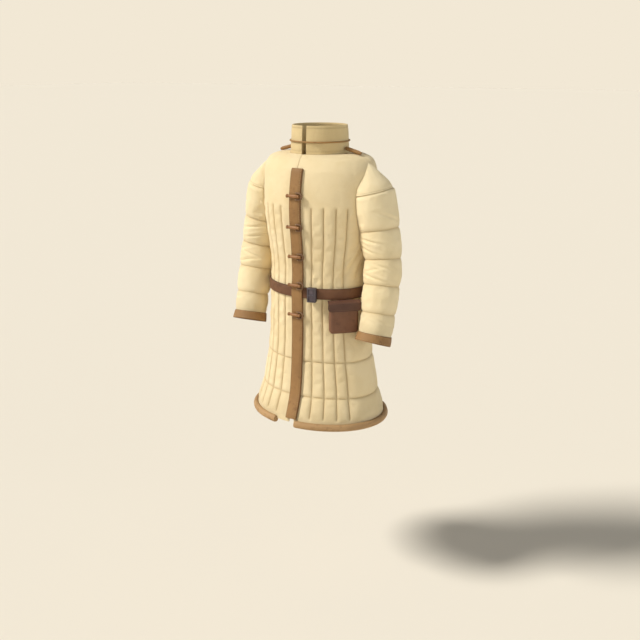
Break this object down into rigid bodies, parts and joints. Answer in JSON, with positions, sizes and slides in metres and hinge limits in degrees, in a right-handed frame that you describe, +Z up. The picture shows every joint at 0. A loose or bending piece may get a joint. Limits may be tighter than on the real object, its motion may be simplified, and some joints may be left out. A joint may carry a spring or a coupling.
{
  "type": "gambeson",
  "caption": "Knee-length quilted padded coat in its worn form, with standing collar, toggle front, shoulder caps, leather bindings, belt, buckle and pouch.",
  "frame": {"origin": "centre of the neck opening at the foot of the collar, where the coat is held on a neck or a stand", "axes": "+Z up along the worn coat, the front faces -Y, the wearer's left is +X"},
  "size_m": [0.641, 0.4169, 1.0186],
  "materials": {
    "linen": "matte quilted linen",
    "collar_linen": "matte quilted linen, darker",
    "tan_leather": "waxed tan leather",
    "brown_leather": "dark brown leather",
    "wood": "turned and oiled hardwood",
    "iron": "blackened forged iron"
  },
  "bodies": {
    "root": {"front_left": "linen", "front_right": "linen", "back": "linen", "sleeve_left": "linen", "sleeve_right": "linen", "cap_left": "linen", "cap_right": "linen", "collar": "collar_linen", "toggle_1": "wood", "toggle_2": "wood", "toggle_3": "wood", "toggle_4": "wood", "toggle_5": "wood", "collar_cord": "tan_leather", "shoulder_cord_left": "tan_leather", "shoulder_cord_right": "tan_leather", "placket": "tan_leather", "cuff_left": "tan_leather", "cuff_right": "tan_leather", "hem_binding": "tan_leather", "loop_1": "brown_leather", "loop_2": "brown_leather", "loop_3": "brown_leather", "loop_4": "brown_leather", "loop_5": "brown_leather", "belt": "brown_leather", "pouch_hanger": "brown_leather", "pouch_body": "brown_leather", "pouch_flap": "brown_leather", "buckle": "iron"}
  },
  "joints": []
}
